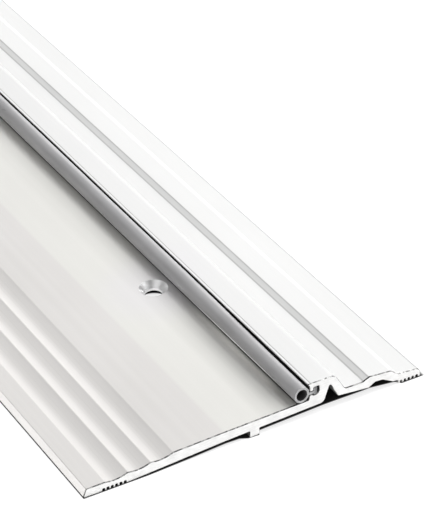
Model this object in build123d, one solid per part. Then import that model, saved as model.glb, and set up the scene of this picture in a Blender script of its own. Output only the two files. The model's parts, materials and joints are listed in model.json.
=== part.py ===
from build123d import *

import math
import os

# Latching saddle door threshold with a replaceable bulb seal.
#
# Frame, in millimetres: +X runs along the doorway, +Y from the exterior toe to the
# interior nose, +Z up. The origin is under the middle of the threshold, on the floor.
# Every section below is drawn in the Y-Z plane at the -X end and extruded along +X.

# Driving dimensions of the aluminium extrusion.
LENGTH = 914.4
WIDTH = 127.0
HEIGHT = 12.7

END_PLANE = Plane.YZ.offset(-LENGTH / 2)
TOE_Y = -WIDTH / 2
NOSE_Y = WIDTH / 2

# Corner roundings that the extrusion die leaves, from the sharpest to the softest.
CRISP = 0.15
FINE = 0.35
SOFT = 0.8
EASY = 1.5
BROAD = 2.0
EDGE_BREAK = 0.3

# Exterior tread: a flat toe, three concave flutes that climb like steps, a smooth
# incline up to a fold line, and then the nearly level shelf that the door closes over.
TOE_TOP = 2.95
TOE_LEAN = 1.1
FLUTE_COUNT = 3
FLUTE_PITCH = 8.2
FLUTE_RISE = 0.68
FLUTE_SAG = 0.7
CREST_Y = -55.7
CREST_Z = 3.02
FOLD_Y = -12.4
FOLD_Z = 5.65
SHELF_END_Y = 19.45
SHELF_END_Z = 6.35

# Door stop: the raised ridge, whose face towards the door holds the seal in a slot.
STOP_FACE_Y = 19.9
LEDGE_Z = 8.1
LEDGE_DEPTH = 0.9
HOOK_Z = 9.7
HOOK_WIDTH = 1.3
SLOT_FLOOR_Z = 7.65
SLOT_ROOF_Z = 10.95
SLOT_BACK_Y = 23.5
LIP_ROOT_Z = 11.3
LIP_OVERHANG = 0.7
RIDGE_SHOULDER_Y = 29.5
RIDGE_SHOULDER_ROUND = 3.0

# Interior side: a valley behind the ridge, a bevel, a raised panel and a low nose.
VALLEY_Y = 33.5
VALLEY_Z = 5.85
BEVEL_Y = 40.5
BEVEL_Z = 5.82
PANEL_Y = 43.0
PANEL_Z = 6.95
PANEL_END_Y = 51.5
PANEL_END_Z = 6.2
NOSE_STEP_Y = 54.3
NOSE_STEP_Z = 3.95
NOSE_TOP_Z = 3.1
NOSE_LEAN = 0.6

# Underside: two grooved pads and a foot stand on the floor, and the rest is hollow.
# A pair in brackets is a (y, z) corner, except that FOOT_Y is where the foot starts and
# ends, and each row of grooves is its first groove's y and how many there are.
TOE_PAD_END_Y = -48.0
PLATE_BEND_Z = 2.1
FOOT_Y = (-2.9, 0.7)
HEEL_Y = 25.2
HEEL_Z = 3.5
RIDGE_HOLLOW_TOP = (27.6, 10.3)
RIDGE_HOLLOW_TOP_ROUND = 0.5
RIDGE_HOLLOW_BACK = (30.75, 3.95)
PANEL_HOLLOW_START = (42.8, 2.68)
PANEL_HOLLOW_TOP = (45.2, 4.15)
PANEL_HOLLOW_BACK = (48.2, 3.95)
PANEL_HOLLOW_END = (52.4, 1.62)
NOSE_PAD_Y = 54.4
NOSE_PAD_HEIGHT = 1.5
GROOVE_WIDTH = 0.85
GROOVE_DEPTH = 1.0
GROOVE_PITCH = 1.54
TOE_GROOVES = (-56.4, 6)
NOSE_GROOVES = (55.6, 5)

# Countersunk screw holes for number 12 flat head screws, in one row along the shelf.
SCREW_ROW_Y = 8.2
SCREW_END_MARGIN = 85.0
SCREW_COUNT = 4
SCREW_RADIUS = 3.2
SCREW_LAND = 1.0
SCREW_SINK_ANGLE = 82.0
SINK_OVERSHOOT = 0.4

# Bulb seal: a hollow oval bulb, a neck and a T-shaped foot that slides in the slot.
BULB_CENTRE = (16.8, 9.35)
BULB_RADII = (2.8, 2.92)
BULB_WALL = 0.8
NECK_Z = (8.45, 9.4)
FOOT_PLATE_Y = (21.4, 22.7)
FOOT_PLATE_Z = (7.95, 10.65)
FOOT_PLATE_ROUND = 0.35


def height_between(y, start, end):
    """Height at y on the straight line through two (y, z) points."""
    share = (y - start[0]) / (end[0] - start[0])
    return start[1] + share * (end[1] - start[1])


def crest(index):
    """The (y, z) point of one crest between the flutes, counted from the toe."""
    return CREST_Y + index * FLUTE_PITCH, CREST_Z + index * FLUTE_RISE


def top_corners():
    """(y, z, radius) corners of the visible side, from the toe to the nose."""
    hook_y = STOP_FACE_Y + HOOK_WIDTH
    tread = [
        (TOE_Y + EDGE_BREAK, 0.0, CRISP),
        (TOE_Y, EDGE_BREAK, CRISP),
        (TOE_Y + TOE_LEAN, TOE_TOP, FINE),
        (*crest(0), 0.0),
        (*crest(FLUTE_COUNT), 0.0),
        (FOLD_Y, FOLD_Z, 0.0),
        (SHELF_END_Y, SHELF_END_Z, FINE),
    ]
    slot = [
        (STOP_FACE_Y, LEDGE_Z, FINE),
        (STOP_FACE_Y + LEDGE_DEPTH, LEDGE_Z, CRISP),
        (hook_y, SLOT_FLOOR_Z, CRISP),
        (SLOT_BACK_Y, SLOT_FLOOR_Z, EASY),
        (SLOT_BACK_Y, SLOT_ROOF_Z, FINE),
        (hook_y, SLOT_ROOF_Z, FINE),
        (hook_y, HOOK_Z, FINE),
        (STOP_FACE_Y, HOOK_Z, FINE),
    ]
    ridge = [
        (STOP_FACE_Y, LIP_ROOT_Z, SOFT),
        (STOP_FACE_Y - LIP_OVERHANG, HEIGHT, FINE),
        (RIDGE_SHOULDER_Y, HEIGHT, RIDGE_SHOULDER_ROUND),
        (VALLEY_Y, VALLEY_Z, EASY),
    ]
    interior = [
        (BEVEL_Y, BEVEL_Z, FINE),
        (PANEL_Y, PANEL_Z, SOFT),
        (PANEL_END_Y, PANEL_END_Z, EASY),
        (NOSE_STEP_Y, NOSE_STEP_Z, SOFT),
        (NOSE_Y - NOSE_LEAN, NOSE_TOP_Z, EASY),
        (NOSE_Y, EDGE_BREAK, CRISP),
        (NOSE_Y - EDGE_BREAK, 0.0, CRISP),
    ]
    return tread + slot + ridge + interior


def bottom_corners():
    """(y, z, radius) corners of the underside, from the nose back to the toe."""
    bend = (FOLD_Y, PLATE_BEND_Z)
    heel = (HEEL_Y, HEEL_Z)
    foot_front, foot_back = FOOT_Y
    panel_hollow = [
        (NOSE_PAD_Y, 0.0, CRISP),
        (NOSE_PAD_Y, NOSE_PAD_HEIGHT, FINE),
        (*PANEL_HOLLOW_END, SOFT),
        (*PANEL_HOLLOW_BACK, BROAD),
        (*PANEL_HOLLOW_TOP, SOFT),
        (*PANEL_HOLLOW_START, FINE),
    ]
    ridge_hollow = [
        (*RIDGE_HOLLOW_BACK, SOFT),
        (*RIDGE_HOLLOW_TOP, RIDGE_HOLLOW_TOP_ROUND),
        (*heel, BROAD),
    ]
    foot = [
        (foot_back, height_between(foot_back, bend, heel), FINE),
        (foot_back, 0.0, SOFT),
        (foot_front, 0.0, CRISP),
        (foot_front, height_between(foot_front, bend, heel), FINE),
    ]
    toe = [
        (*bend, 0.0),
        (TOE_PAD_END_Y, 0.0, 0.0),
    ]
    return panel_hollow + ridge_hollow + foot + toe


def cut_flute(index):
    """Cuts one concave flute between two crests from the tread."""
    (y0, z0), (y1, z1) = crest(index), crest(index + 1)
    chord = math.hypot(y1 - y0, z1 - z0)
    radius = chord**2 / (8 * FLUTE_SAG) + FLUTE_SAG / 2
    lift = radius - FLUTE_SAG
    centre_y = (y0 + y1) / 2 - lift * (z1 - z0) / chord
    centre_z = (z0 + z1) / 2 + lift * (y1 - y0) / chord
    with Locations((centre_y, centre_z)):
        Circle(radius, mode=Mode.SUBTRACT)


def cut_grooves(first_y, count):
    """Cuts a row of round-topped grip grooves up into a pad."""
    centres = [(first_y + i * GROOVE_PITCH, 0.0) for i in range(count)]
    with Locations(*centres):
        SlotOverall(2 * GROOVE_DEPTH, GROOVE_WIDTH, rotation=90, mode=Mode.SUBTRACT)


def threshold_section():
    """The extrusion's cross-section."""
    corners = top_corners() + bottom_corners()
    with BuildSketch(END_PLANE) as section:
        with BuildLine():
            points = [(y, z) for y, z, _ in corners]
            FilletPolyline(points, radius=[r for _, _, r in corners], close=True)
        make_face()
        for index in range(FLUTE_COUNT):
            cut_flute(index)
        for index in range(FLUTE_COUNT + 1):
            nearest = section.vertices().sort_by_distance(crest(index))[0]
            fillet(nearest, SOFT)
        cut_grooves(*TOE_GROOVES)
        cut_grooves(*NOSE_GROOVES)
    return section.sketch


def screw_positions():
    """X of each screw hole, evenly spaced between the end margins."""
    reach = LENGTH / 2 - SCREW_END_MARGIN
    return [reach * (2 * i / (SCREW_COUNT - 1) - 1) for i in range(SCREW_COUNT)]


def make_threshold():
    """The aluminium extrusion, cut to length and drilled for its screws."""
    plate_z = height_between(SCREW_ROW_Y, (FOLD_Y, PLATE_BEND_Z), (HEEL_Y, HEEL_Z))
    shelf_z = height_between(SCREW_ROW_Y, (FOLD_Y, FOLD_Z), (SHELF_END_Y, SHELF_END_Z))
    sink_top = shelf_z + SINK_OVERSHOOT
    flare = math.tan(math.radians(SCREW_SINK_ANGLE / 2))
    sink_radius = SCREW_RADIUS + flare * (sink_top - plate_z - SCREW_LAND)
    with BuildPart() as threshold:
        extrude(threshold_section(), amount=LENGTH)
        with Locations(*[(x, SCREW_ROW_Y, sink_top) for x in screw_positions()]):
            CounterSinkHole(SCREW_RADIUS, sink_radius, HEIGHT, SCREW_SINK_ANGLE)
    return threshold.part


def make_bulb_seal():
    """The vinyl seal strip: hollow bulb, neck and T-shaped foot, as long as the sill."""
    width, height = BULB_RADII
    neck_start = BULB_CENTRE[0] + width - BULB_WALL / 2
    neck_end = FOOT_PLATE_Y[0] + FOOT_PLATE_ROUND
    with BuildPart() as seal:
        with BuildSketch(END_PLANE):
            with Locations(BULB_CENTRE):
                Ellipse(width, height)
            with Locations(((neck_start + neck_end) / 2, sum(NECK_Z) / 2)):
                Rectangle(neck_end - neck_start, NECK_Z[1] - NECK_Z[0])
            with Locations((sum(FOOT_PLATE_Y) / 2, sum(FOOT_PLATE_Z) / 2)):
                plate_width = FOOT_PLATE_Y[1] - FOOT_PLATE_Y[0]
                plate_height = FOOT_PLATE_Z[1] - FOOT_PLATE_Z[0]
                RectangleRounded(plate_width, plate_height, FOOT_PLATE_ROUND)
            with Locations(BULB_CENTRE):
                Ellipse(width - BULB_WALL, height - BULB_WALL, mode=Mode.SUBTRACT)
        extrude(amount=LENGTH)
    return seal.part


def main():
    os.makedirs("parts", exist_ok=True)
    export_step(make_threshold(), "parts/threshold_extrusion.step")
    export_step(make_bulb_seal(), "parts/bulb_seal.step")


main()
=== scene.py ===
import json
import math

import bmesh
import bpy
from mathutils import Matrix, Vector


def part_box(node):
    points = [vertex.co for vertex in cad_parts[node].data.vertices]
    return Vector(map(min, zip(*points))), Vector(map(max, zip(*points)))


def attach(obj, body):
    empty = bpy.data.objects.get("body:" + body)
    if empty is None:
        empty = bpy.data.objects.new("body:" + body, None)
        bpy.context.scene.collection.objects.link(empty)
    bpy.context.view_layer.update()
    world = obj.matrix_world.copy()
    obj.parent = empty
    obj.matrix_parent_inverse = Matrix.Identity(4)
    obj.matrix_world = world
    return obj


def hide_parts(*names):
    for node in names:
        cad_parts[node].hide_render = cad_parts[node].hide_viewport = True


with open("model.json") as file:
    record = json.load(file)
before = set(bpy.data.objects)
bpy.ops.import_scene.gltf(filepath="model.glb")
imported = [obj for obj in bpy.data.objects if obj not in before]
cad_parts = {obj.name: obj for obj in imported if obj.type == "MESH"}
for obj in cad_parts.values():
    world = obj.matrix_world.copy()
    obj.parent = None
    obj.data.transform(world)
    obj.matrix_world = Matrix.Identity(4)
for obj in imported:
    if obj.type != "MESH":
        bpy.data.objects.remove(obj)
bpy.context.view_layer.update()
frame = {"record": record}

# Latching saddle door threshold with a slide-in bulb seal, dressed for its picture.
#
# The frame is the CAD's: +X along the doorway, +Y from the exterior toe to the interior
# nose, +Z up, origin on the floor under the middle. The two extruded pieces are built
# again here from their sections, with smooth arcs, broken edges and machined sinks,
# and each replaces its CAD node. Sections are in millimetres, everything else in metres.

MM = 0.001
METAL_LOW, METAL_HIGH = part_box("threshold_extrusion")
SEAL_LOW, SEAL_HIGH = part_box("bulb_seal")
LENGTH = METAL_HIGH.x - METAL_LOW.x
HEIGHT = round(METAL_HIGH.z / MM, 2)
WIDTH = 127.0
TOE_Y = -WIDTH / 2
NOSE_Y = WIDTH / 2

# Corner roundings of the extrusion die, in millimetres.
CRISP = 0.15
FINE = 0.35
SOFT = 0.8
EASY = 1.5
BROAD = 2.0
SHOULDER = 3.0
FOLD_ROUND = 50.0
EDGE_BREAK = 0.3

# Flutes of the tread: (y, z) of the first crest, the step to the next, and the sag.
FIRST_CREST = (-55.7, 3.02)
CREST_STEP = (8.2, 0.68)
FLUTE_COUNT = 3
FLUTE_SAG = 0.7
FLUTE_SEGMENTS = 14

# Corners that more than one part of the section needs, as (y, z), and the foot's two sides.
FOLD = (-12.4, 5.65)
SHELF_END = (19.45, 6.35)
PLATE_BEND = (-12.4, 2.1)
HEEL = (25.2, 3.5)
FOOT_Y = (-2.9, 0.7)

# A fine groove left by the die along the top of the ridge, just behind its lip.
LIP_LINE_Y = 20.25
LINE_HALF_WIDTH = 0.16
LINE_DEPTH = 0.1

# Grip grooves of the two pads: first centre and count. All share one width and depth.
TOE_GROOVES = (-56.4, 6)
NOSE_GROOVES = (55.6, 5)
GROOVE_WIDTH = 0.85
GROOVE_DEPTH = 1.0
GROOVE_PITCH = 1.54

# Screw row, from the record's own bolt patterns, and the countersinking drill.
MOUNTS = {m["name"]: m for m in frame["record"]["mounts"]}
SCREW_Y = MOUNTS["outer_screw_holes"]["pos_m"][1]
SCREW_RADIUS = MOUNTS["outer_screw_holes"]["dims"]["hole_r_mm"] * MM
SCREW_SPANS = [m["dims"]["spacing_x_mm"] * MM for m in MOUNTS.values() if "spacing_x_mm" in m["dims"]]
SCREW_XS = sorted(side * span / 2 for span in SCREW_SPANS for side in (-1, 1))
SCREW_PITCH = SCREW_XS[1] - SCREW_XS[0]
SCREW_LAND = 1.0 * MM
SINK_HALF_ANGLE = math.radians(41)
SINK_REACH = 5.5 * MM
DRILL_OVERSHOOT = 0.4 * MM
DRILL_TIP_Z = -1.0 * MM
DRILL_SIDES = 96

# Bulb seal section: an oval tube, a neck and the T-shaped foot, in millimetres.
BULB_CENTRE = (16.8, 9.35)
BULB_RADII = (2.8, 2.92)
BULB_WALL = 0.8
NECK_Z = (8.45, 9.4)
FOOT_PLATE_Y = (21.4, 22.7)
FOOT_PLATE_Z = (7.95, 10.65)

# The bulb is pinched a little where it is cut, and is fatter along the middle.
SWELL = 0.3
SWELL_SHIFT = (0.15, 0.12)
SWELL_START = 20.0
SWELL_REACH = 60.0
SWELL_STEPS = (10.0, 20.0, 30.0, 40.0, 50.0, 60.0, 70.0, 80.0, 120.0)
LIP_CONTACT_Y = 19.86

# How many points the oval outside and the oval bore of the bulb get.
BULB_POINTS = 72
BORE_POINTS = 56

# Meshing: the largest step round an arc, then in millimetres the broken edge at the metal's
# cut ends, how far in its band of painted edge shade reaches, and the broken edge at the
# seal's cut ends. Then the distance within which vertices are welded, in metres, and the
# angles in degrees above which corners stay sharp.
ARC_STEP = math.radians(6)
END_BREAK = 0.13
EDGE_SHADE_REACH = 0.5
SEAL_END_BREAK = 0.08
WELD = 0.001 * MM
METAL_CORNER = 32
VINYL_CORNER = 40

# The material slots of both bars. The metal's last slot is painted shade; the seal has no such slot.
SKIN, SAWN, BROKEN, BORED, SHADED = range(5)


# ---------------------------------------------------------------- outlines

def height_between(y, start, end):
    """Height at y on the straight line through two (y, z) points."""
    return start[1] + (y - start[0]) / (end[0] - start[0]) * (end[1] - start[1])


def crest(index):
    return FIRST_CREST[0] + index * CREST_STEP[0], FIRST_CREST[1] + index * CREST_STEP[1]


def flute(index):
    """Points of one concave flute between two crests, without the crests themselves."""
    start, end = Vector(crest(index)), Vector(crest(index + 1))
    chord = (end - start).length
    radius = chord**2 / (8 * FLUTE_SAG) + FLUTE_SAG / 2
    up = Vector((start.y - end.y, end.x - start.x)) / chord
    centre = (start + end) / 2 + up * (radius - FLUTE_SAG)
    half = math.asin(chord / 2 / radius)
    along = (end - start) / chord
    points = []
    for step in range(1, FLUTE_SEGMENTS):
        angle = half * (2 * step / FLUTE_SEGMENTS - 1)
        point = centre + radius * (math.sin(angle) * along - math.cos(angle) * up)
        points.append((point.x, point.y, 0.0))
    return points


def groove(centre_y):
    """Corners of one round-topped groove cut up into a pad, drawn towards -Y."""
    half = GROOVE_WIDTH / 2
    # A little less than half the width, so that the two arcs don't meet in one point.
    top_radius = half * 0.98
    return [
        (centre_y + half, 0.0, 0.0),
        (centre_y + half, GROOVE_DEPTH, top_radius),
        (centre_y - half, GROOVE_DEPTH, top_radius),
        (centre_y - half, 0.0, 0.0),
    ]


def grooves(first_y, count):
    """A row of grooves, in the order in which the underside is drawn, nose to toe."""
    row = [groove(first_y + index * GROOVE_PITCH) for index in reversed(range(count))]
    return [corner for cut in row for corner in cut]


def tread():
    corners = [
        (TOE_Y + EDGE_BREAK, 0.0, CRISP),
        (TOE_Y, EDGE_BREAK, CRISP),
        (TOE_Y + 1.1, 2.95, FINE),
    ]
    for index in range(FLUTE_COUNT):
        corners.append((*crest(index), SOFT))
        corners.extend(flute(index))
    corners.append((*crest(FLUTE_COUNT), SOFT))
    corners.append((*FOLD, FOLD_ROUND))
    corners.append((*SHELF_END, FINE))
    return corners


def die_line(y, z):
    """Corners of a fine groove along a level face, drawn towards +Y."""
    return [(y - LINE_HALF_WIDTH, z, 0.0), (y, z - LINE_DEPTH, 0.0), (y + LINE_HALF_WIDTH, z, 0.0)]


def door_stop():
    return [
        (19.9, 8.1, FINE),
        (20.8, 8.1, CRISP),
        (21.2, 7.65, CRISP),
        (23.5, 7.65, EASY),
        (23.5, 10.95, FINE),
        (21.2, 10.95, FINE),
        (21.2, 9.7, FINE),
        (19.9, 9.7, FINE),
        (19.9, 11.3, SOFT),
        (19.2, HEIGHT, CRISP),
        *die_line(LIP_LINE_Y, HEIGHT),
        (29.5, HEIGHT, SHOULDER),
        (33.5, 5.85, EASY),
    ]


def interior():
    return [
        (40.5, 5.82, FINE),
        (43.0, 6.95, SOFT),
        (51.5, 6.2, EASY),
        (54.3, 3.95, SOFT),
        (NOSE_Y - 0.6, 3.1, EASY),
        (NOSE_Y, EDGE_BREAK, CRISP),
        (NOSE_Y - EDGE_BREAK, 0.0, CRISP),
    ]


def underside():
    foot_front, foot_back = FOOT_Y
    hollows = [
        (54.4, 0.0, CRISP),
        (54.4, 1.5, FINE),
        (52.4, 1.62, SOFT),
        (48.2, 3.95, BROAD),
        (45.2, 4.15, SOFT),
        (42.8, 2.68, FINE),
        (30.75, 3.95, SOFT),
        (27.6, 10.3, 0.5),
        (*HEEL, BROAD),
        (foot_back, height_between(foot_back, PLATE_BEND, HEEL), FINE),
        (foot_back, 0.0, SOFT),
        (foot_front, 0.0, CRISP),
        (foot_front, height_between(foot_front, PLATE_BEND, HEEL), FINE),
        (*PLATE_BEND, FOLD_ROUND),
        (-48.0, 0.0, FINE),
    ]
    return grooves(*NOSE_GROOVES) + hollows + grooves(*TOE_GROOVES)


def rounded(corners):
    """(y, z) points of a closed outline whose (y, z, radius) corners are turned into arcs."""
    points = []
    count = len(corners)
    for index, (y, z, radius) in enumerate(corners):
        here = Vector((y, z))
        if radius == 0.0:
            points.append(here)
            continue
        before = Vector(corners[index - 1][:2])
        after = Vector(corners[(index + 1) % count][:2])
        incoming, outgoing = (here - before).normalized(), (after - here).normalized()
        turn = incoming.angle_signed(outgoing)
        reach = radius * math.tan(abs(turn) / 2)
        start = here - incoming * reach
        side = -1 if turn > 0 else 1
        centre = start + Vector((-incoming.y, incoming.x)) * radius * side
        steps = max(2, math.ceil(abs(turn) / ARC_STEP))
        for step in range(steps + 1):
            angle = side * abs(turn) * step / steps
            points.append(centre + Matrix.Rotation(angle, 2) @ (start - centre))
    return points


def ellipse(centre, radii, count):
    points = []
    for index in range(count):
        angle = 2 * math.pi * index / count
        across = radii[0] * math.cos(angle)
        up = radii[1] * math.sin(angle)
        points.append(Vector((centre[0] + across, centre[1] + up)))
    return points


def inset(points, amount):
    """The outline moved inwards by an amount, for a broken edge. Interior is on the right."""
    moved = []
    for index, here in enumerate(points):
        before, after = points[index - 1], points[(index + 1) % len(points)]
        first, second = (here - before).normalized(), (after - here).normalized()
        normal_a, normal_b = Vector((first.y, -first.x)), Vector((second.y, -second.x))
        middle = (normal_a + normal_b).normalized()
        moved.append(here + middle * amount / max(0.5, middle.dot(normal_a)))
    return moved


# ---------------------------------------------------------------- meshes

def new_object(name, mesh):
    obj = bpy.data.objects.new(name, mesh)
    bpy.context.scene.collection.objects.link(obj)
    return obj


def extruded(name, loops, low_x, high_x, end_break, steps, edge_bands):
    """A bar along X. The first loop is its outline and any others are holes in its section.

    The faces of the bar get SKIN, those of its holes BORED, its two ends SAWN, and as many
    bands of faces next to the ends as edge_bands says BROKEN. Steps are distances from both
    ends, in millimetres, at which the bar gets an extra ring of vertices.
    """
    mesh = bmesh.new()
    rings = []
    inner = [low_x + end_break * MM] + [low_x + step * MM for step in steps]
    inner += [high_x - step * MM for step in reversed(steps)] + [high_x - end_break * MM]
    stations = [(low_x, True)] + [(x, False) for x in inner] + [(high_x, True)]
    last = len(stations) - 1
    for number, points in enumerate(loops):
        side_slot = BORED if number else SKIN
        small = inset(points, end_break)
        ring_set = []
        for x, at_end in stations:
            source = small if at_end else points
            ring_set.append([mesh.verts.new((x, p.x * MM, p.y * MM)) for p in source])
        rings.append(ring_set)
        for station in range(last):
            first, second = ring_set[station], ring_set[station + 1]
            for index in range(len(points)):
                following = (index + 1) % len(points)
                face = mesh.faces.new((first[index], first[following], second[following], second[index]))
                at_edge = min(station, last - 1 - station) < edge_bands
                face.material_index = BROKEN if at_edge else side_slot
    for station in (0, last):
        edges = []
        for ring_set in rings:
            ring = ring_set[station]
            edges += [mesh.edges.get((ring[i - 1], ring[i])) for i in range(len(ring))]
        filled = bmesh.ops.triangle_fill(mesh, edges=edges, use_beauty=True)
        for face in filled["geom"]:
            if isinstance(face, bmesh.types.BMFace):
                face.material_index = SAWN
    bmesh.ops.remove_doubles(mesh, verts=mesh.verts, dist=WELD)
    bmesh.ops.recalc_face_normals(mesh, faces=mesh.faces)
    if mesh.calc_volume(signed=True) < 0:
        bmesh.ops.reverse_faces(mesh, faces=mesh.faces)
    data = bpy.data.meshes.new(name)
    mesh.to_mesh(data)
    mesh.free()
    return new_object(name, data)


def countersink(x):
    """The shape that a countersinking drill takes out at one screw position."""
    plate_z = height_between(SCREW_Y / MM, PLATE_BEND, HEEL) * MM
    shelf_z = height_between(SCREW_Y / MM, FOLD, SHELF_END) * MM
    top = shelf_z + DRILL_OVERSHOOT
    cone_z = plate_z + SCREW_LAND
    rim = SCREW_RADIUS + math.tan(SINK_HALF_ANGLE) * (top - cone_z)
    mesh = bmesh.new()
    rings = []
    for radius, z in ((SCREW_RADIUS, DRILL_TIP_Z), (SCREW_RADIUS, cone_z), (rim, top)):
        circle = ellipse((x, SCREW_Y), (radius, radius), DRILL_SIDES)
        rings.append([mesh.verts.new((point.x, point.y, z)) for point in circle])
    for lower, upper in zip(rings, rings[1:]):
        for i in range(DRILL_SIDES):
            j = (i + 1) % DRILL_SIDES
            mesh.faces.new((lower[i], lower[j], upper[j], upper[i]))
    mesh.faces.new(list(reversed(rings[0])))
    mesh.faces.new(rings[-1])
    data = bpy.data.meshes.new("drill")
    mesh.to_mesh(data)
    mesh.free()
    return new_object("drill", data)


def apply_modifiers(obj):
    graph = bpy.context.evaluated_depsgraph_get()
    mesh = bpy.data.meshes.new_from_object(obj.evaluated_get(graph))
    obj.modifiers.clear()
    obj.data = mesh


def drill_holes(bar):
    """Cuts the countersunk screw holes, and gives their walls BORED."""
    for x in SCREW_XS:
        tool = countersink(x)
        cut = bar.modifiers.new("drill", "BOOLEAN")
        cut.operation = "DIFFERENCE"
        cut.solver = "EXACT"
        cut.object = tool
        apply_modifiers(bar)
        bpy.data.objects.remove(tool)
    for face in bar.data.polygons:
        reach = min(Vector((face.center.x - x, face.center.y - SCREW_Y)).length for x in SCREW_XS)
        level = face.normal.z >= 0.95 or abs(face.normal.x) + abs(face.normal.y) <= 0.3
        if reach < SINK_REACH and not level:
            face.material_index = BORED


# Where the metal is painted dark, as painted shade, although it doesn't face down, in
# millimetres: the slot and the face behind the bulb, each as two corners in Y and Z, and the
# sides of the foot and of the pads up to a height. The lip over the bulb leans down but is as
# bright as the skin.
SHADED_BOXES = [((19.8, 7.0), (24.0, 11.2)), ((17.2, 6.0), (20.0, 8.2))]
FOOT_SIDE_TOP = 3.0
PADS_END = 60.0
LIP_Y = (19.0, 19.85)


def is_shaded(face):
    """Whether a face gets painted shade: on the underside, in the slot or behind the bulb."""
    y, z = face.center.y / MM, face.center.z / MM
    under = face.normal.z < -0.05 and not LIP_Y[0] < y < LIP_Y[1]
    foot_side = z < FOOT_SIDE_TOP and abs(y) < PADS_END and abs(face.normal.y) > 0.9
    boxed = any(low[0] < y < high[0] and low[1] < z < high[1] for low, high in SHADED_BOXES)
    return under or foot_side or boxed


def shade_hollows(bar):
    """Gives the painted-shade slot to the skin's faces underneath, in the slot and behind the bulb."""
    for face in bar.data.polygons:
        if face.material_index == SKIN and is_shaded(face):
            face.material_index = SHADED


def swell_bulb(strip):
    """Fattens the bulb away from its cut ends, until it rests against the lip."""
    for vertex in strip.data.vertices:
        offset = Vector((vertex.co.y / MM - BULB_CENTRE[0], vertex.co.z / MM - BULB_CENTRE[1]))
        # The neck and the foot are further across than the bulb, and stay as they are.
        if offset.x > BULB_RADII[0] + 0.01:
            continue
        inward = min(vertex.co.x - SEAL_LOW.x, SEAL_HIGH.x - vertex.co.x) / MM
        share = min(1.0, max(0.0, inward - SWELL_START) / SWELL_REACH)
        share = share * share * (3 - 2 * share)
        # The neck side stays where the slot holds it.
        free = min(1.0, math.hypot(offset.x - BULB_RADII[0], offset.y) / BULB_RADII[1])
        moved = share * free
        swollen = offset * (1 + moved * SWELL / BULB_RADII[0])
        place = Vector(BULB_CENTRE) + swollen + moved * Vector(SWELL_SHIFT)
        vertex.co.y = min(place.x, LIP_CONTACT_Y) * MM
        vertex.co.z = place.y * MM


def soften(obj, sharp_degrees):
    """Smooth shading that keeps broad faces flat and leaves real corners sharp."""
    obj.data.shade_smooth()
    obj.data.set_sharp_from_angle(angle=math.radians(sharp_degrees))
    weigh = obj.modifiers.new("weigh", "WEIGHTED_NORMAL")
    weigh.keep_sharp = True
    weigh.mode = "FACE_AREA"
    weigh.weight = 100


# ---------------------------------------------------------------- materials

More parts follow.
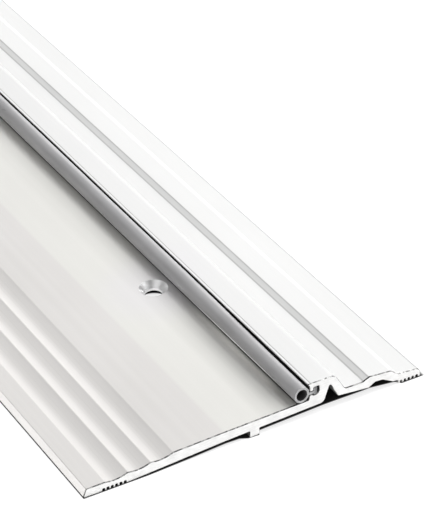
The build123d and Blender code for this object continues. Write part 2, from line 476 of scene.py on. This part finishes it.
class Nodes:
    """A short way to write a material's node tree."""

    def __init__(self, name):
        self.material = bpy.data.materials.new(name)
        self.material.use_nodes = True
        self.tree = self.material.node_tree
        self.shader = self.tree.nodes["Principled BSDF"]

    def add(self, kind, **settings):
        node = self.tree.nodes.new("ShaderNode" + kind)
        for key, value in settings.items():
            if hasattr(node, key):
                setattr(node, key, value)
            else:
                node.inputs[key.replace("_", " ")].default_value = value
        return node

    def link(self, source, target):
        self.tree.links.new(source, target)

    def math(self, operation, first, second=0.5):
        """One Math node. Operations on one number leave the second unused."""
        node = self.add("Math", operation=operation)
        for socket, value in zip(node.inputs, (first, second)):
            if isinstance(value, (int, float)):
                socket.default_value = value
            else:
                self.link(value, socket)
        return node.outputs[0]

    def plus(self, first, second):
        return self.math("ADD", first, second)

    def minus(self, first, second):
        return self.math("SUBTRACT", first, second)

    def times(self, first, second):
        return self.math("MULTIPLY", first, second)

    def stretched(self, scale):
        """Position in the row frame, multiplied by a scale for each axis."""
        place = self.add("TexCoord").outputs["Object"]
        mapping = self.add("Mapping")
        mapping.inputs["Scale"].default_value = scale
        self.link(place, mapping.inputs["Vector"])
        return mapping.outputs[0]

    def place(self):
        """The X, Y and Z of a place in the row frame."""
        split = self.add("SeparateXYZ")
        self.link(self.stretched((1.0, 1.0, 1.0)), split.inputs[0])
        return split.outputs

    def rise(self, value, start, end):
        """0 where the value is at start, 1 where it is at end, and smooth between them."""
        node = self.add("MapRange", interpolation_type="SMOOTHSTEP", From_Min=start, From_Max=end)
        self.link(value, node.inputs["Value"])
        return node.outputs["Result"]

    def noise(self, scale, size=1.0, detail=3.0, roughness=0.5):
        node = self.add("TexNoise", Scale=size, Detail=detail, Roughness=roughness)
        self.link(self.stretched(scale), node.inputs["Vector"])
        return node.outputs["Fac"]

    def ramp(self, factor, stops):
        """Blends between (place, colour or grey) stops."""
        node = self.add("ValToRGB")
        elements = node.color_ramp.elements
        while len(elements) < len(stops):
            elements.new(0.5)
        for element, (place, colour) in zip(elements, stops):
            element.position = place
            element.color = (*colour, 1) if isinstance(colour, tuple) else (colour, colour, colour, 1)
        self.link(factor, node.inputs["Fac"])
        return node.outputs["Color"]

    def between(self, factor, low, high):
        """A number that follows factor from low to high."""
        node = self.add("MapRange")
        node.inputs["To Min"].default_value = low
        node.inputs["To Max"].default_value = high
        self.link(factor, node.inputs["Value"])
        return node.outputs["Result"]

    def curve(self, value, stops):
        """A number that follows the straight lines through (value, number) stops."""
        starts, numbers = [stop[0] for stop in stops], [stop[1] for stop in stops]
        first, span = starts[0], starts[-1] - starts[0]
        low, high = min(numbers), max(numbers)
        even = self.math("DIVIDE", self.minus(value, first), span)
        levels = [((start - first) / span, (number - low) / (high - low)) for start, number in stops]
        return self.between(self.ramp(even, levels), low, high)

    def screw_reach(self):
        """How far a place is, across X and Y, from the nearest screw's axis."""
        place = self.place()
        first = self.minus(place["X"], SCREW_XS[0] - SCREW_PITCH / 2)
        across = self.minus(self.math("MODULO", first, SCREW_PITCH), SCREW_PITCH / 2)
        along = self.minus(place["Y"], SCREW_Y)
        squares = self.plus(self.math("POWER", across, 2.0), self.math("POWER", along, 2.0))
        return self.math("SQRT", squares)

    def painted_lines(self, lines):
        """How much painted shade each place gets from lines along X: y, half width in mm, strength."""
        along_y = self.place()["Y"]
        total = None
        for y, half_width, strength in lines:
            away = self.math("ABSOLUTE", self.minus(along_y, y * MM))
            near = self.minus(1.0, self.math("DIVIDE", away, half_width * MM))
            part = self.times(self.math("MAXIMUM", near, 0.0), strength)
            total = part if total is None else self.plus(total, part)
        return total

    def darken(self, colour, amount):
        """The colour scaled by one less the amount. A negative amount makes it paler."""
        node = self.add("VectorMath", operation="SCALE")
        self.link(colour, node.inputs[0])
        self.link(self.minus(1.0, amount), node.inputs["Scale"])
        return node.outputs[0]

    def blend(self, factor, first, second):
        """The first colour where the factor is 0, the second where it is 1."""
        node = self.add("Mix", data_type="RGBA")
        # A Mix node numbers its sockets over all data types: these are the colour ones.
        for socket, source in ((0, factor), (6, first), (7, second)):
            self.link(source, node.inputs[socket])
        return node.outputs[2]

    def bump(self, height, distance, strength=1.0, after=None):
        node = self.add("Bump", Distance=distance, Strength=strength)
        self.link(height, node.inputs["Height"])
        if after is not None:
            self.link(after, node.inputs["Normal"])
        return node.outputs["Normal"]

    def set(self, **values):
        for key, value in values.items():
            socket = self.shader.inputs[key.replace("_", " ")]
            if isinstance(value, bpy.types.NodeSocket):
                self.link(value, socket)
            else:
                socket.default_value = value


# Painted shade lines in the corners of the section, on its edges and along its die lines, and
# one painted highlight: y and half width in millimetres, and how much darker it is there, or
# paler where that is negative.
FLUTE_STEPS = [index * CREST_STEP[0] for index in range(FLUTE_COUNT)]
SHADE_AND_HIGHLIGHT_LINES = [(y + step, 0.3, 0.03) for step in FLUTE_STEPS for y in (-52.6, -51.5, -50.2)]
SHADE_AND_HIGHLIGHT_LINES += [
    # Painted shade where the bulb meets the shelf, then a painted highlight on the lip.
    (15.35, 0.5, 0.9),
    (19.6, 0.5, -0.1),
    (LIP_LINE_Y, 0.25, 0.3),
    (29.6, 1.3, 0.3),
    (40.7, 0.4, 0.28),
    (42.75, 0.35, 0.33),
    (53.3, 1.5, 0.2),
    (62.5, 0.8, 0.66),
]

# Painted shadow beside the bulb: how much darker the shelf is painted there at distances in
# from the ends, in metres, and the share of that which each place across it gets, in millimetres.
BULB_SHADOW = [
    (0.25, 0.08),
    (0.14, 0.15),
    (0.1, 0.195),
    (0.07, 0.243),
    (0.045, 0.36),
    (0.025, 0.375),
    (0.01, 0.35),
    (0.0, 0.2),
]
BULB_SHADOW_SHARES = [
    (1.0, 0.0),
    (6.0, 0.42),
    (9.0, 1.0),
    (11.0, 1.17),
    (12.5, 0.62),
    (14.0, 0.41),
    (15.0, 0.4),
    (17.0, 0.0),
]

# Where the metal's tint changes: the tread up to the fold is painted a little darker and warmer,
# as painted shade, the lip and what is behind it are neutral, and the metal round the screws is
# cooler.
TREAD_ENDS = ((FOLD[0] - 1.0) * MM, (FOLD[0] + 1.0) * MM)
NEUTRAL_STARTS = (18.0 * MM, 19.0 * MM)
SCREW_TINT_REACH = (26.0 * MM, 7.0 * MM)
SCREW_TINT_SHARE = 0.6

# Painted shade darkens the last stretch at each end, and the panel is a touch greyer than the valley.
END_SHADE_LENGTH = 100.0 * MM
END_SHADE_DARKER = 0.05
PANEL_STARTS = (43.0 * MM, 44.0 * MM)
PANEL_DARKER = 0.025


def metal_tint(m, tone):
    """The clean metal's colour for a tone from 0 to 1, at each place, with painted shade on the tread.
    """
    shaded_tread = m.ramp(tone, [(0.3, (0.835, 0.815, 0.795)), (0.7, (0.905, 0.885, 0.865))])
    shelf_tint = m.ramp(tone, [(0.3, (0.885, 0.878, 0.842)), (0.7, (0.94, 0.933, 0.897))])
    screw_tint = m.ramp(tone, [(0.3, (0.87, 0.852, 0.872)), (0.7, (0.925, 0.907, 0.927))])
    neutral = m.ramp(tone, [(0.3, (0.885, 0.885, 0.88)), (0.7, (0.935, 0.935, 0.93))])
    along_y = m.place()["Y"]
    colour = m.blend(m.rise(along_y, *TREAD_ENDS), shaded_tread, shelf_tint)
    colour = m.blend(m.rise(along_y, *NEUTRAL_STARTS), colour, neutral)
    return m.blend(m.times(m.rise(m.screw_reach(), *SCREW_TINT_REACH), SCREW_TINT_SHARE), colour, screw_tint)


def metal_shade_and_panel(m):
    """How much darker each place is painted, apart from the painted shade lines: a painted shadow beside
    the bulb, painted shade at the ends, and a greyer panel.
    """
    place = m.place()
    near_end = m.math("ABSOLUTE", place["X"])
    end_shade = m.rise(near_end, LENGTH / 2 - END_SHADE_LENGTH, LENGTH / 2)
    share = m.curve(place["Y"], [(y * MM, amount) for y, amount in BULB_SHADOW_SHARES])
    bulb_shadow = m.curve(near_end, [(LENGTH / 2 - inward, amount) for inward, amount in BULB_SHADOW])
    darkening = m.plus(m.times(end_shade, END_SHADE_DARKER), m.times(share, bulb_shadow))
    return m.plus(darkening, m.times(m.rise(place["Y"], *PANEL_STARTS), PANEL_DARKER))


def mill_aluminium():
    """Extruded metal: satin, with die lines all along it, painted shade lines, a painted shadow beside
    the bulb, and a tread painted darker and warmer as shade.
    """
    m = Nodes("mill_aluminium")
    lines = m.noise((3.0, 2600.0, 2600.0), detail=2.0)
    streaks = m.noise((1.2, 420.0, 420.0), detail=3.0)
    clouds = m.noise((22.0, 40.0, 40.0), detail=2.0)
    tone = m.plus(m.times(streaks, 0.45), m.times(clouds, 0.55))
    colour = m.darken(metal_tint(m, tone), m.painted_lines(SHADE_AND_HIGHLIGHT_LINES))
    colour = m.darken(colour, metal_shade_and_panel(m))
    rough = m.between(tone, 0.36, 0.27)
    normal = m.bump(lines, 0.00001, 0.35)
    normal = m.bump(streaks, 0.00002, 0.25, normal)
    m.set(Base_Color=colour, Metallic=0.7, Roughness=rough, Normal=normal)
    return m.material


# Painted shade: a dark line where the sawn face ends at the tip of the nose.
NOSE_TIP_SHADE = (NOSE_Y, 0.7, 0.9)


def sawn_aluminium():
    """The sawn ends: brighter and rougher than the mill skin, with fine blade marks and a painted shade
    line at the nose tip.
    """
    m = Nodes("sawn_aluminium")
    marks = m.noise((200.0, 350.0, 4200.0), detail=3.0)
    grain = m.noise((900.0, 900.0, 900.0), detail=2.0)
    patches = m.noise((300.0, 300.0, 300.0), detail=3.0)
    tone = m.plus(m.times(marks, 0.5), m.times(patches, 0.5))
    colour = m.ramp(tone, [(0.35, (0.73, 0.728, 0.722)), (0.65, (0.89, 0.888, 0.88))])
    rough = m.between(grain, 0.42, 0.55)
    colour = m.darken(colour, m.painted_lines([NOSE_TIP_SHADE]))
    m.set(Base_Color=colour, Metallic=1.0, Roughness=rough, Normal=m.bump(marks, 0.00003, 0.4))
    return m.material


# Painted shade along the broken edge: how much darker it is at places across the section, in
# millimetres, or a painted highlight, paler, where that is negative. It is heaviest in the inner
# corners and at the tip of the nose.
EDGE_SHADE_TONES = [
    (-63.5, 0.1),
    (-20.0, 0.0),
    (8.0, 0.2),
    (14.0, 0.8),
    (18.0, 0.8),
    (20.5, -0.6),
    (29.0, -0.9),
    (32.0, 0.8),
    (35.8, 0.8),
    (37.0, 0.0),
    (39.8, 0.0),
    (40.6, 0.85),
    (43.0, 0.85),
    (44.0, -0.2),
    (53.0, -0.2),
    (55.0, -1.2),
    (61.0, -1.2),
    (62.3, 0.85),
    (63.5, 0.85),
]


def painted_edge_shade():
    """The broken edge round a sawn end: a speckled dark line of painted shade."""
    m = Nodes("painted_edge_shade")
    specks = m.noise((900.0, 900.0, 900.0), detail=1.0)
    colour = m.ramp(specks, [(0.4, (0.1, 0.1, 0.1)), (0.6, (0.42, 0.42, 0.41))])
    tones = m.curve(m.place()["Y"], [(y * MM, amount) for y, amount in EDGE_SHADE_TONES])
    colour = m.darken(colour, tones)
    m.set(Base_Color=colour, Metallic=0.6, Roughness=m.between(specks, 0.5, 0.7))
    return m.material


# Round the foot of the seal the painted shade on the metal is nearly black: where that ends
# in Y and starts in Z, and how much darker it is.
SEAL_SHADE_ENDS = (24.2 * MM, 23.8 * MM)
SEAL_SHADE_STARTS = (5.5 * MM, 6.0 * MM)
SEAL_SHADE = 0.85


def shaded_aluminium():
    """Painted shade for the faces under the bar, in its slot and behind the bulb: dark metal with stains
    and fine lines.
    """
    m = Nodes("shaded_aluminium")
    lines = m.noise((3.0, 1800.0, 1800.0), detail=2.0)
    stains = m.noise((40.0, 60.0, 60.0), detail=4.0)
    colour = m.ramp(stains, [(0.35, (0.17, 0.168, 0.165)), (0.65, (0.27, 0.268, 0.262))])
    place = m.place()
    round_seal = m.times(m.rise(place["Y"], *SEAL_SHADE_ENDS), m.rise(place["Z"], *SEAL_SHADE_STARTS))
    colour = m.darken(colour, m.times(round_seal, SEAL_SHADE))
    rough = m.between(stains, 0.5, 0.7)
    m.set(Base_Color=colour, Metallic=0.5, Roughness=rough, Normal=m.bump(lines, 0.00002, 0.4))
    return m.material


# The step between the rings that the drill leaves in a countersink.
RING_PITCH = 0.16 * MM


def bored_aluminium():
    """The countersinks: bright metal with the drill's rings round each screw position."""
    m = Nodes("bored_aluminium")
    rings = m.math("SINE", m.times(m.screw_reach(), 2 * math.pi / RING_PITCH))
    chatter = m.noise((700.0, 700.0, 700.0), detail=2.0)
    height = m.plus(rings, chatter)
    colour = m.ramp(chatter, [(0.3, (0.88, 0.88, 0.88)), (0.7, (0.94, 0.94, 0.94))])
    m.set(Base_Color=colour, Metallic=1.0, Roughness=m.between(chatter, 0.3, 0.42))
    m.set(Normal=m.bump(height, 0.000006, 0.5))
    return m.material


# A painted highlight of light off the shelf, low on the outer side near the cut ends: its share
# at distances in from the ends, in metres, where it starts in Z and in Y, and how much paler.
RIM_HIGHLIGHT = [(0.07, 0.0), (0.045, 1.0), (0.02, 0.8), (0.01, 0.0)]
RIM_HIGHLIGHT_STARTS_Z = (9.1 * MM, 8.6 * MM)
RIM_HIGHLIGHT_STARTS_Y = (15.4 * MM, 15.0 * MM)
RIM_HIGHLIGHT_PALER = 2.2

# Painted light: the vinyl is painted paler down its outer side, and a painted highlight makes it
# paler where it leans on the lip.
FLANK_STARTS = (12.45 * MM, 10.8 * MM)
FLANK_PALER = 0.2
LEANING_STARTS = (16.4 * MM, 18.2 * MM)
LEANING_PALER = 0.52


def grey_vinyl():
    """The seal: smooth flexible vinyl with faint lines from its die, painted light on its lower side and
    painted highlights.
    """
    m = Nodes("grey_vinyl")
    lines = m.noise((2.0, 1500.0, 1500.0), detail=2.0)
    clouds = m.noise((60.0, 200.0, 200.0), detail=3.0)
    colour = m.ramp(clouds, [(0.3, (0.288, 0.286, 0.291)), (0.7, (0.335, 0.333, 0.337))])
    place = m.place()
    flank = m.rise(place["Z"], *FLANK_STARTS)
    colour = m.darken(colour, m.times(flank, -FLANK_PALER))
    near_end = m.math("ABSOLUTE", place["X"])
    along = m.curve(near_end, [(LENGTH / 2 - inward, share) for inward, share in RIM_HIGHLIGHT])
    side = m.times(m.rise(place["Z"], *RIM_HIGHLIGHT_STARTS_Z), m.rise(place["Y"], *RIM_HIGHLIGHT_STARTS_Y))
    colour = m.darken(colour, m.times(m.times(along, side), -RIM_HIGHLIGHT_PALER))
    colour = m.darken(colour, m.times(m.rise(place["Y"], *LEANING_STARTS), -LEANING_PALER))
    rough = m.between(clouds, 0.24, 0.36)
    normal = m.bump(lines, 0.00001, 0.3)
    m.set(Base_Color=colour, Roughness=rough, Normal=normal, Specular_IOR_Level=0.5)
    return m.material


# Painted shade: the cut foot is painted darker the deeper it lies in the slot.
FOOT_END_SHADE = (23.2, 2.6, 0.95)


def cut_vinyl():
    """The seal's cut ends, paler and duller than its skin, with painted shade on the foot in the slot.
    """
    m = Nodes("cut_vinyl")
    marks = m.noise((300.0, 500.0, 2500.0), detail=3.0)
    colour = m.ramp(marks, [(0.3, (0.44, 0.44, 0.45)), (0.7, (0.56, 0.56, 0.56))])
    colour = m.darken(colour, m.painted_lines([FOOT_END_SHADE]))
    m.set(Base_Color=colour, Roughness=m.between(marks, 0.5, 0.65), Normal=m.bump(marks, 0.00003, 0.4))
    return m.material


def shaded_bore_vinyl():
    """The inside of the bulb: the vinyl painted darker than its skin, as painted shade."""
    m = Nodes("shaded_bore_vinyl")
    clouds = m.noise((80.0, 300.0, 300.0), detail=2.0)
    colour = m.ramp(clouds, [(0.3, (0.08, 0.08, 0.082)), (0.7, (0.12, 0.12, 0.122))])
    m.set(Base_Color=colour, Roughness=m.between(clouds, 0.5, 0.6), Normal=m.bump(clouds, 0.00003, 0.3))
    return m.material


# The floor glows a little, so that the shadow on it stays pale, but not in the shade under
# the bar. The shade starts this far in from the two end planes at each place across the
# bar, in millimetres: just outside them at the pads, and further in where light gets under.
SHADE_INSETS = [
    (-66.0, -0.32),
    (-46.5, -0.32),
    (-40.0, -0.3),
    (-24.5, 0.55),
    (-11.0, 1.45),
    (-6.0, 1.3),
    (-3.5, 0.0),
    (0.6, -0.25),
    (1.4, 1.9),
    (27.0, 3.0),
    (33.0, 3.0),
    (42.0, 2.9),
    (45.0, 3.0),
    (54.0, 1.6),
    (55.6, -0.32),
    (66.0, -0.32),
]
SHADE_SOFTNESS = 0.35 * MM
# The shade fades in at the toe and out past the nose, between two places in Y each.
SHADE_TOE = (-63.8 * MM, -63.5 * MM)
SHADE_NOSE = (65.35 * MM, 63.7 * MM)
SHADE_TONE = 0.03
# Light falls through the screw holes, and fades between these distances from their axes.
HOLE_LIGHT = (6.4 * MM, 5.5 * MM)
FLOOR_GLOW = 0.79


def floor_white():
    """The pale floor, with its soft glow and the shade under the bar."""
    m = Nodes("floor_white")
    grain = m.noise((9.0, 9.0, 9.0), detail=2.0)
    place = m.place()
    inward = m.minus(LENGTH / 2, m.math("ABSOLUTE", place["X"]))
    inset = m.curve(place["Y"], [(y * MM, amount * MM) for y, amount in SHADE_INSETS])
    along = m.rise(m.minus(inward, inset), -SHADE_SOFTNESS, SHADE_SOFTNESS)
    across = m.times(m.rise(place["Y"], *SHADE_TOE), m.rise(place["Y"], *SHADE_NOSE))
    lit_hole = m.rise(m.screw_reach(), *HOLE_LIGHT)
    shade = m.times(m.times(along, across), m.minus(1.0, lit_hole))
    open_floor = m.minus(1.0, shade)
    tone = m.math("MAXIMUM", m.times(m.between(grain, 0.34, 0.38), open_floor), SHADE_TONE)
    glow = m.times(open_floor, FLOOR_GLOW)
    m.set(Base_Color=tone, Roughness=0.9, Emission_Color=(1.0, 1.0, 1.0, 1.0), Emission_Strength=glow)
    return m.material


# ---------------------------------------------------------------- pieces

def make_threshold():
    outline = rounded(tread() + door_stop() + interior() + underside())
    bar = extruded("threshold", [outline], METAL_LOW.x, METAL_HIGH.x, END_BREAK, (EDGE_SHADE_REACH,), 2)
    for finish in (mill_aluminium, sawn_aluminium, painted_edge_shade, bored_aluminium, shaded_aluminium):
        bar.data.materials.append(finish())
    drill_holes(bar)
    shade_hollows(bar)
    soften(bar, METAL_CORNER)
    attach(bar, "threshold")
    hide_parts("threshold_extrusion")
    return bar


def seal_outline():
    """The outside of the bulb, then along the neck, round the foot and back."""
    radius_y, radius_z = BULB_RADII
    neck_low, neck_high = (math.asin((z - BULB_CENTRE[1]) / radius_z) for z in NECK_Z)
    start, end = neck_high, neck_low + 2 * math.pi
    points = []
    for index in range(BULB_POINTS + 1):
        angle = start + (end - start) * index / BULB_POINTS
        y = BULB_CENTRE[0] + radius_y * math.cos(angle)
        z = BULB_CENTRE[1] + radius_z * math.sin(angle)
        points.append((y, z, 0.0))
    foot = [
        (FOOT_PLATE_Y[0], NECK_Z[0], 0.15),
        (FOOT_PLATE_Y[0], FOOT_PLATE_Z[0], 0.35),
        (FOOT_PLATE_Y[1], FOOT_PLATE_Z[0], 0.35),
        (FOOT_PLATE_Y[1], FOOT_PLATE_Z[1], 0.35),
        (FOOT_PLATE_Y[0], FOOT_PLATE_Z[1], 0.35),
        (FOOT_PLATE_Y[0], NECK_Z[1], 0.15),
    ]
    # Drawn anticlockwise, so it is turned round to match the metal's outline.
    return list(reversed(rounded(points + foot)))


def make_seal():
    radii = [radius - BULB_WALL for radius in BULB_RADII]
    hollow = ellipse(BULB_CENTRE, radii, BORE_POINTS)
    loops = [seal_outline(), hollow]
    strip = extruded("seal_strip", loops, SEAL_LOW.x, SEAL_HIGH.x, SEAL_END_BREAK, SWELL_STEPS, 1)
    cut = cut_vinyl()
    for material in (grey_vinyl(), cut, cut, shaded_bore_vinyl()):
        strip.data.materials.append(material)
    swell_bulb(strip)
    soften(strip, VINYL_CORNER)
    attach(strip, "seal")
    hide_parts("bulb_seal")
    return strip


# ---------------------------------------------------------------- stage

FLOOR_HALF_WIDTH = 30.0
FLOOR_Z = -0.1 * MM


def make_floor():
    mesh = bmesh.new()
    bmesh.ops.create_grid(mesh, x_segments=1, y_segments=1, size=FLOOR_HALF_WIDTH)
    data = bpy.data.meshes.new("floor")
    mesh.to_mesh(data)
    mesh.free()
    floor = new_object("floor", data)
    floor.location.z = FLOOR_Z
    floor.data.materials.append(floor_white())


# The studio's grey for a direction is the product of one factor for each of its parts,
# given here at places from -1 to 1.
WORLD_STRENGTH = 1.15
WORLD = {
    "X": [(-1.0, 1.0), (0.3, 1.0), (0.65, 0.33), (1.0, 0.28)],
    "Y": [(-1.0, 0.5), (-0.45, 0.7), (-0.15, 1.0), (0.1, 0.87), (1.0, 0.87)],
    "Z": [
        (-1.0, 1.0),
        (0.0, 1.0),
        (0.1, 0.95),
        (0.32, 0.58),
        (0.5, 0.49),
        (0.6, 0.49),
        (0.68, 0.57),
        (0.85, 0.5),
        (1.0, 0.36),
    ],
}


def make_world():
    """A white studio: brightest near the horizon, greyer above, and darker past +X and -Y."""
    world = bpy.data.worlds.new("studio")
    world.use_nodes = True
    tree = world.node_tree
    place = tree.nodes.new("ShaderNodeTexCoord")
    split = tree.nodes.new("ShaderNodeSeparateXYZ")
    tree.links.new(place.outputs["Generated"], split.inputs[0])
    product = None
    for axis, stops in WORLD.items():
        # A colour ramp runs from 0 to 1, so each part is halved and moved up by a half.
        shift = tree.nodes.new("ShaderNodeMath")
        shift.operation = "MULTIPLY_ADD"
        shift.inputs[1].default_value = shift.inputs[2].default_value = 0.5
        tree.links.new(split.outputs[axis], shift.inputs[0])
        ramp = tree.nodes.new("ShaderNodeValToRGB")
        elements = ramp.color_ramp.elements
        while len(elements) < len(stops):
            elements.new(0.5)
        for element, (part, grey) in zip(elements, stops):
            element.position = (part + 1) / 2
            element.color = (grey, grey, grey, 1)
        tree.links.new(shift.outputs[0], ramp.inputs["Fac"])
        if product is None:
            product = ramp.outputs["Color"]
            continue
        both = tree.nodes.new("ShaderNodeMath")
        both.operation = "MULTIPLY"
        tree.links.new(product, both.inputs[0])
        tree.links.new(ramp.outputs["Color"], both.inputs[1])
        product = both.outputs[0]
    background = tree.nodes["Background"]
    tree.links.new(product, background.inputs["Color"])
    background.inputs["Strength"].default_value = WORLD_STRENGTH
    bpy.context.scene.world = world


# Area lights: name, place, target, width and height, and radiance. The key is high over the
# interior side, a weak fill stands on the exterior side, and the two walls are what the
# camera sees mirrored in the metal.
LIGHTS = [
    ("key", (0.4, 1.85, 2.8), (0.4, 0, 0), (1.5, 1.5), 17.6),
    ("fill", (1.5, -1.9, 1.9), (0.37, 0, 0), (3.2, 1.5), 0.6),
    ("wall_high", (-3.0, 3.0, 3.85), (-3.0, 0, 3.85), (12.0, 1.7), 0.43),
    ("wall_low", (-3.0, 3.0, 1.5), (-3.0, 0, 1.5), (12.0, 3.0), 0.24),
]


def soft_light(name, place, target, size, radiance):
    """An area light of an even radiance. The camera doesn't see it."""
    data = bpy.data.lights.new(name, "AREA")
    data.shape = "RECTANGLE"
    data.size, data.size_y = size
    data.energy = radiance * math.pi * size[0] * size[1]
    lamp = bpy.data.objects.new(name, data)
    lamp.location = place
    lamp.rotation_euler = (Vector(target) - Vector(place)).to_track_quat("-Z", "Y").to_euler()
    lamp.visible_camera = False
    bpy.context.scene.collection.objects.link(lamp)


# Photographed from past the near (+X) end, on the exterior side, looking down along it.
CAMERA_AZIMUTH = math.radians(60.64)
CAMERA_ELEVATION = math.radians(32.79)
CAMERA_ROLL = math.radians(-1.15)
CAMERA_LENS = 176.0
CAMERA_FROM_END = Vector((0.5545, -0.3261, 0.4845))


def make_camera():
    data = bpy.data.cameras.new("camera")
    data.lens = CAMERA_LENS
    data.sensor_width = 36.0
    camera = bpy.data.objects.new("camera", data)
    back = Vector((
        math.sin(CAMERA_AZIMUTH) * math.cos(CAMERA_ELEVATION),
        -math.cos(CAMERA_AZIMUTH) * math.cos(CAMERA_ELEVATION),
        math.sin(CAMERA_ELEVATION),
    ))
    right = Vector((0, 0, 1)).cross(back).normalized()
    up = back.cross(right)
    turned = Matrix((right, up, back)).transposed() @ Matrix.Rotation(CAMERA_ROLL, 3, "Z")
    place = CAMERA_FROM_END + Vector((METAL_HIGH.x, 0, 0))
    camera.matrix_world = Matrix.Translation(place) @ turned.to_4x4()
    data.clip_start = 0.01
    data.clip_end = 100.0
    bpy.context.scene.collection.objects.link(camera)
    bpy.context.scene.camera = camera


make_camera()
make_world()
for light in LIGHTS:
    soft_light(*light)
bpy.context.scene.view_settings.view_transform = "Standard"
make_floor()
make_threshold()
make_seal()
